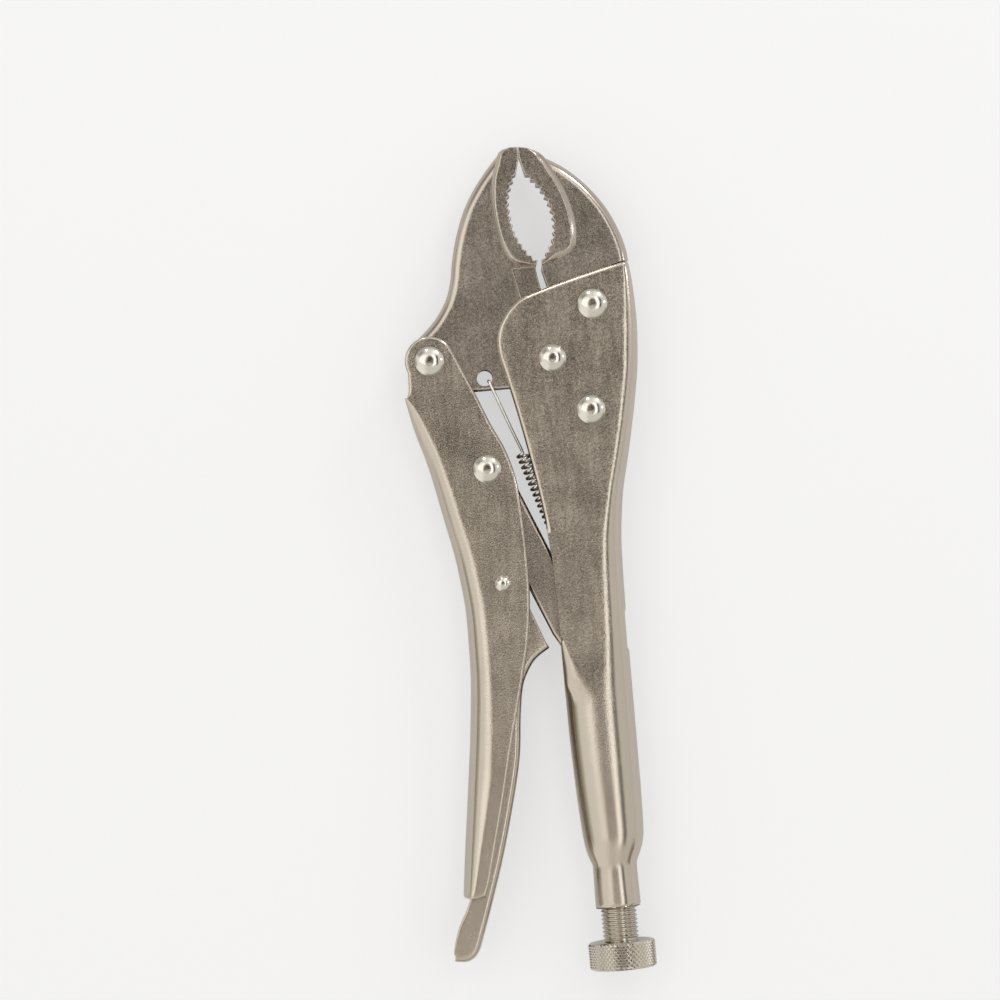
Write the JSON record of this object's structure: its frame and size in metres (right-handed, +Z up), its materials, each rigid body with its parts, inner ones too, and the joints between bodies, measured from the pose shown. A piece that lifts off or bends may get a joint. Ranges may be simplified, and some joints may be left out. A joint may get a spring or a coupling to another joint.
{
  "type": "locking pliers",
  "caption": "Curved-jaw locking pliers with toggle link, adjusting screw and release lever, in satin nickel-plated steel.",
  "frame": {"origin": "centre of the bounding box on the plane the pliers lie on", "axes": "+Y along the adjusting screw from the knob towards the jaws, +X towards the back of the fixed handle, +Z up out of the flat cheeks"},
  "size_m": [0.0733, 0.2541, 0.0208],
  "materials": {
    "pressed_steel": "nickel-plated sheet steel with a fine blasted grain, satin",
    "forged_steel": "nickel-plated forged steel with a fine blasted grain, satin",
    "rivet_steel": "polished nickel-plated rivet heads",
    "screw_steel": "nickel-plated, rolled thread and diamond knurl",
    "spring_wire": "drawn spring wire, bright"
  },
  "bodies": {
    "fixed_side": {"fixed_handle": "pressed_steel", "fixed_jaw": "forged_steel", "fixed_jaw_rivet_upper": "rivet_steel", "fixed_jaw_rivet_lower": "rivet_steel", "jaw_pivot_rivet": "rivet_steel", "jaw_spring": "spring_wire"},
    "swing_jaw": {"moving_jaw": "forged_steel"},
    "lever_side": {"lever_handle": "pressed_steel", "lever_rivet": "rivet_steel", "toggle_rivet": "rivet_steel", "release_rivet": "rivet_steel"},
    "link": {"toggle_link": "forged_steel"},
    "release": {"release_lever": "pressed_steel"},
    "screw": {"adjusting_screw": "screw_steel"},
    "knob": {"knurled_knob": "screw_steel"}
  },
  "joints": [
    {"name": "jaw_swing", "type": "hinge", "parent": "fixed_side", "child": "swing_jaw", "pos_m": [0.0098, 0.0616, 0.0104], "axis": [0, 0, 1], "range_deg": [0, 16], "deforming": ["jaw_spring"]},
    {"name": "handle_swing", "type": "hinge", "parent": "swing_jaw", "child": "lever_side", "pos_m": [-0.0278, 0.0639, 0.0104], "axis": [0, 0, -1], "range_deg": [0, 50]},
    {"name": "link_swing", "type": "hinge", "parent": "lever_side", "child": "link", "pos_m": [-0.0131, 0.0295, 0.0104], "axis": [0, 0, 1], "range_deg": [0, 54]},
    {"name": "release_swing", "type": "hinge", "parent": "lever_side", "child": "release", "pos_m": [-0.0113, -0.0059, 0.0104], "axis": [0, 0, 1], "range_deg": [0, 10]},
    {"name": "screw_travel", "type": "slide", "parent": "fixed_side", "child": "screw", "axis": [0, -1, 0], "range_m": [0, 0.0254]},
    {"name": "knob_spin", "type": "hinge", "parent": "screw", "child": "knob", "pos_m": [0.0154, -0.1224, 0.0104], "axis": [0, -1, 0], "range_deg": [0, 7201]}
  ],
  "couplings": [
    {"joint": "jaw_swing", "follows": "handle_swing", "ratio": 0.32},
    {"joint": "link_swing", "follows": "handle_swing", "ratio": 1.08},
    {"joint": "release_swing", "follows": "handle_swing", "ratio": 0.2},
    {"joint": "knob_spin", "follows": "screw_travel", "rad_per_m": 4947.4}
  ]
}
